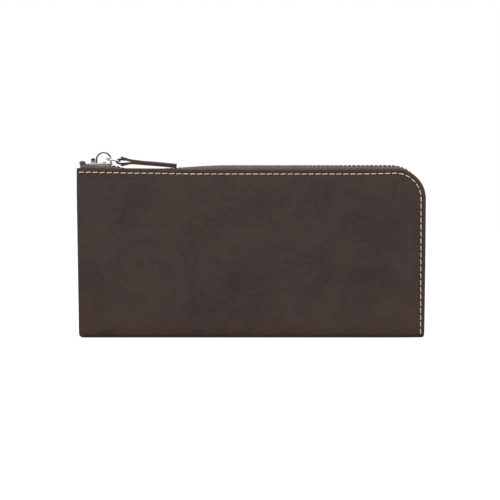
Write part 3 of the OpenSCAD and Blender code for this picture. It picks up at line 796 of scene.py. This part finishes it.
pick(tooth, lambda co: co.x > 0.8 * MM and -0.4 * MM < co.y < 1.9 * MM, "FACE")
bpy.ops.mesh.inset(thickness=0.2 * MM, depth=-0.16 * MM)
bpy.ops.object.mode_set(mode="OBJECT")
finish_with(tooth, "BEVEL", width=0.11 * MM, segments=1, limit_method="ANGLE", angle_limit=math.radians(40))
smooth(tooth, 50)

tooth_finish, bench, shader = new_finish("antique_teeth", Metallic=0.9, Specular_IOR_Level=0.5)
place = bench.add("TexCoord").outputs["Object"]
wear = bench.add("TexNoise", Vector=place, Scale=700.0, Detail=4.0, Roughness=0.7)
polish = bench.ramp(wear.outputs[0], 0.42, 0.7)
bench.feed(shader, "Base_Color", bench.mix(polish, srgb(52, 41, 39), srgb(98, 82, 77)))
bench.feed(shader, "Roughness", bench.ramp(wear.outputs[0], 0.3, 0.7, 0.48, 0.3, False))
nicks = bench.add("Bump", Strength=0.3, Distance=0.05 * MM, Height=wear.outputs[0])
bench.feed(shader, "Normal", nicks.outputs[0])

for body, side, node, shift in (("front_half", 1, "front_zip_teeth", 0.5),
                                ("back_half", -1, "back_zip_teeth", 1)):
    places = []
    for i in range(tooth_count):
        x, z, angle = on_l((i + shift) * tooth_pitch, first_tooth, chain_x, chain_corner_z, chain_radius)
        if angle > 1.57:
            z -= sag(x) - tape_rise(x)
        wobble = 0.12 * MM * noise.noise(Vector((i * 1.7, side * 5, 0)))
        places.append(Matrix.Scale(side, 4, (0, 1, 0)) @ set_on_l(angle, x + wobble * math.cos(angle), 0,
                                                                 z + wobble * math.sin(angle)))
    teeth = copies(tooth, node[:-6] + "_tooth_row", places)
    teeth.data.materials.append(tooth_finish)
    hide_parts(node)
    if body == "front_half":
        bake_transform(teeth)
    else:
        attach(teeth, body)
bpy.data.objects.remove(tooth)

# Slider, hoop, link and stops
# Zinc castings and bent wire with polished nickel plating, rounded by tumbling before they were plated.
nickel_finish, bench, shader = new_finish("polished_nickel", Metallic=1.0)
place = bench.add("TexCoord").outputs["Object"]
haze = bench.add("TexNoise", Vector=place, Scale=260.0, Detail=4.0, Roughness=0.6)
lines = bench.add("TexNoise", Vector=place, Scale=2200.0, Detail=2.0)
bench.feed(shader, "Base_Color", bench.mix(haze.outputs[0], srgb(196, 192, 186), srgb(226, 223, 218)))
bench.feed(shader, "Roughness", bench.ramp(haze.outputs[0], 0.3, 0.75, 0.1, 0.24, False))
round_edges = bench.add("Bevel", samples=6, Radius=0.22 * MM)
scratches = bench.add("Bump", Strength=0.12, Distance=0.02 * MM, Height=lines.outputs[0])
bench.feed(scratches, "Normal", round_edges.outputs[0])
bench.feed(shader, "Normal", scratches.outputs[0])


def cast_lug(name, low, high, round_off):
    """A small cast block between two corners, with tumbled edges."""
    lug = begin(bpy.ops.mesh.primitive_cube_add, name, stretch=tuple((b - a) / 2 for a, b in zip(low, high)))
    lug.data.transform(Matrix.Translation([(a + b) / 2 for a, b in zip(low, high)]))
    finish_with(lug, "BEVEL", width=round_off, segments=3, limit_method="ANGLE", angle_limit=math.radians(30))
    smooth(lug, 60)
    return lug


# The casting has a lug before the hoop's front foot and a low one for its lock pin, and the link's
# eye is squeezed round the hoop's wire.
for node, body, lugs in (
    ("slider_body", "slider", (((-92.9, -1.9, 100.4), (-90.6, 1.9, 103.9)),
                               ((-86.2, -1.0, 100.4), (-84.4, 1.0, 101.7)))),
    ("pull_link", "link", (((-83.9, -1.5, 102.2), (-81.4, -0.35, 104.2)),
                           ((-83.9, 0.35, 102.2), (-81.4, 1.5, 104.2)))),
):
    casting = soft_copy(node, node + "_cast", 0.15 * MM)
    parts = [cast_lug("lug", Vector(low) * MM, Vector(high) * MM, 0.4 * MM) for low, high in lugs]
    alone(casting)
    for part in parts:
        part.select_set(True)
    bpy.ops.object.join()
    casting.data.materials.append(nickel_finish)
    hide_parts(node)
    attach(casting, body)
for node in ("slider_hoop", "front_top_stop", "back_top_stop", "bottom_stop",
             "coin_slider", "coin_pull", "coin_zip_stops"):
    metal = bpy.data.objects[node]
    metal.data.materials.clear()
    metal.data.materials.append(nickel_finish)

# Leather pull
# A dog-bone strip of the same leather, folded round the link so that its two faces lie back to back.
# Its shoulders spring apart at the fold, and its cut edges show the redder inside of the hide.
fold_x = -76.45 * MM
fold_z = 101.75 * MM
pull_length = 33 * MM
pull_half_width = 4.5 * MM
neck_half_width = 2.1 * MM
pull_droop = 4
layer = 1.0 * MM
fold_inside = 0.75 * MM
strip = begin(bpy.ops.mesh.primitive_grid_add, "pull_strip", stretch=(pull_length, 2 * pull_half_width, 1),
              x_subdivisions=44, y_subdivisions=12, size=1)
strip.data.transform(Matrix.Translation((pull_length / 2, 0, fold_inside + layer / 2)))


def shape_layer(co, face):
    """Close the strip behind the fold, narrow it to the neck, and let its shoulders spring apart."""
    closed = ease(co.x, 0, 7.5 * MM)
    wide = ease(co.x, 1.2 * MM, 3.4 * MM)
    nearness = (co.x - pull_length + 1.6 * MM) / (1.6 * MM)
    corner = (1 - math.sqrt(max(1 - nearness ** 2, 0))) * 1.6 * MM if nearness > 0 else 0
    half_width = neck_half_width + (pull_half_width - neck_half_width) * wide - corner
    share = co.y / pull_half_width
    co.y = share * half_width
    co.z = co.z * (1 - closed) + (layer / 2 + 0.01 * MM) * closed
    outer = ease(abs(share), 0.3, 1)
    along = co.x
    co.z += (1.0 if face > 0 else 1.0) * MM * (1 - ease(along, 0, 7 * MM)) * outer * wide
    co.x -= (3.9 if face > 0 else 3.0) * MM * outer * (1 - ease(along, 0, 7 * MM)) * wide
    co.z *= face
    co.z -= 0.55 * MM * share ** 2 * ease(along, 6 * MM, 16 * MM)
    co.z += 0.35 * MM * math.sin(math.pi * min(along / pull_length, 1))


strip_under = strip.copy()
strip_under.data = strip.data.copy()
bpy.context.collection.objects.link(strip_under)
strip_under.data.flip_normals()
for layer_mesh, face in ((strip.data, 1), (strip_under.data, -1)):
    for point in layer_mesh.vertices:
        shape_layer(point.co, face)
alone(strip)
strip_under.select_set(True)
bpy.ops.object.join()
pick(strip, lambda co: abs(co.x) < MM / 20 and abs(co.y) < neck_half_width + MM / 10, "EDGE")
bpy.ops.mesh.bridge_edge_loops(number_cuts=8, interpolation="SURFACE", smoothness=1.2)
bpy.ops.object.mode_set(mode="OBJECT")
finish_with(strip, "SOLIDIFY", thickness=layer, offset=0)
finish_with(strip, "BEVEL", width=0.2 * MM, segments=2, limit_method="ANGLE", angle_limit=math.radians(50))
smooth(strip, 40)
for point in strip.data.vertices:
    if abs(point.co.y) > neck_half_width or point.co.x > 3 * MM:
        point.co.z *= 1 + 0.38 * (1 - ease(point.co.x, 6 * MM, 15 * MM))
strip.data.transform(Matrix.Translation((fold_x, 0, fold_z)) @
                     Matrix.Rotation(math.radians(pull_droop), 4, "Y"))

pull_finish, bench, shader = new_finish("pull_leather", Roughness=0.5, Specular_IOR_Level=0.35)
place = bench.add("TexCoord").outputs["Object"]
wax = use_group(bench, "waxed_grain", Vector=place)
edge = bench.add("Attribute", attribute_name="cut_edge").outputs["Fac"]
body = bench.mix(bench.ramp(wax["Clouds"], 0.36, 0.64), srgb(58, 45, 41), srgb(80, 62, 55))
body = bench.mix(bench.math("MULTIPLY", edge, 0.6), body, srgb(92, 62, 52))
bench.feed(shader, "Base_Color", body)
bump = bench.add("Bump", Strength=0.5, Distance=0.06 * MM, Height=wax["Height"])
bench.feed(shader, "Normal", bump.outputs[0])
rim_mark = strip.data.attributes.new("cut_edge", "FLOAT", "POINT")
sides = [0.0] * len(strip.data.vertices)
for face in strip.data.polygons:
    if abs(face.normal.y) > 0.75 or (face.normal.x > 0.75 and face.center.x > fold_x + 30 * MM):
        for i in face.vertices:
            sides[i] = 1.0
rim_mark.data.foreach_set("value", sides)
strip.data.materials.append(pull_finish)
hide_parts("pull_strap")
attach(strip, "pull")

# Studio
# A white sweep under a large soft overhead light, with two soft side lights, as for a catalogue.
def lamp(name, place, aim, size, watts):
    data = bpy.data.lights.new(name, "AREA")
    data.shape, data.size, data.size_y, data.energy = "RECTANGLE", size[0], size[1], watts
    light = bpy.data.objects.new(name, data)
    light.location = place
    light.rotation_euler = (Vector(aim) - Vector(place)).to_track_quat("-Z", "Y").to_euler()
    bpy.context.collection.objects.link(light)


middle = (0, 0, 50 * MM)
lamp("overhead", (-0.1, -0.25, 0.95), middle, (0.9, 0.7), 3.4)
lamp("left", (-0.95, -0.7, 0.5), middle, (0.6, 0.8), 2.7)
lamp("right", (0.95, -0.7, 0.5), middle, (0.6, 0.8), 2.3)

floor = begin(bpy.ops.mesh.primitive_plane_add, "floor", stretch=(4, 4, 1))
floor_finish, bench, shader = new_finish("floor", Roughness=0.9, Specular_IOR_Level=0.0,
                                         Base_Color=(0.86, 0.86, 0.86, 1))
seen = bench.add("LightPath").outputs["Is Camera Ray"]
bench.feed(shader, "Emission_Color", (1, 1, 1, 1))
bench.feed(shader, "Emission_Strength", bench.math("MULTIPLY", seen, 0.62))
floor.data.materials.append(floor_finish)

world = bpy.data.worlds.new("studio")
bpy.context.scene.world = world
world.use_nodes = True
bench = Nodes(world.node_tree)
background = world.node_tree.nodes["Background"]
path = bench.add("LightPath").outputs
way = bench.add("SeparateXYZ")
bench.feed(way, 0, bench.add("TexCoord").outputs["Generated"])
dark_wall = bench.math("MULTIPLY", bench.ramp(way.outputs[2], -0.3, -0.1), bench.ramp(way.outputs[2], 0.5, 0.3))
mirror = bench.mix(dark_wall, (0.95, 0.95, 0.95, 1), (0.01, 0.01, 0.01, 1))
light = bench.mix(path["Is Glossy Ray"], (0.45, 0.45, 0.45, 1), mirror)
bench.feed(background, 0, bench.mix(path["Is Camera Ray"], light, (1, 1, 1, 1)))

camera_distance = 1.1
camera_height = math.radians(2.5)
view_width = 0.2874
aim = Vector((-0.86 * MM, -half_depth, 50.9 * MM))
camera_data = bpy.data.cameras.new("camera")
camera_data.sensor_width = 36
camera_data.lens = 36 * camera_distance / view_width
camera = bpy.data.objects.new("camera", camera_data)
camera.location = aim + camera_distance * Vector((0, -math.cos(camera_height), math.sin(camera_height)))
camera.rotation_euler = (aim - camera.location).to_track_quat("-Z", "Y").to_euler()
bpy.context.collection.objects.link(camera)
bpy.context.scene.camera = camera
bpy.context.scene.view_settings.view_transform = "Standard"
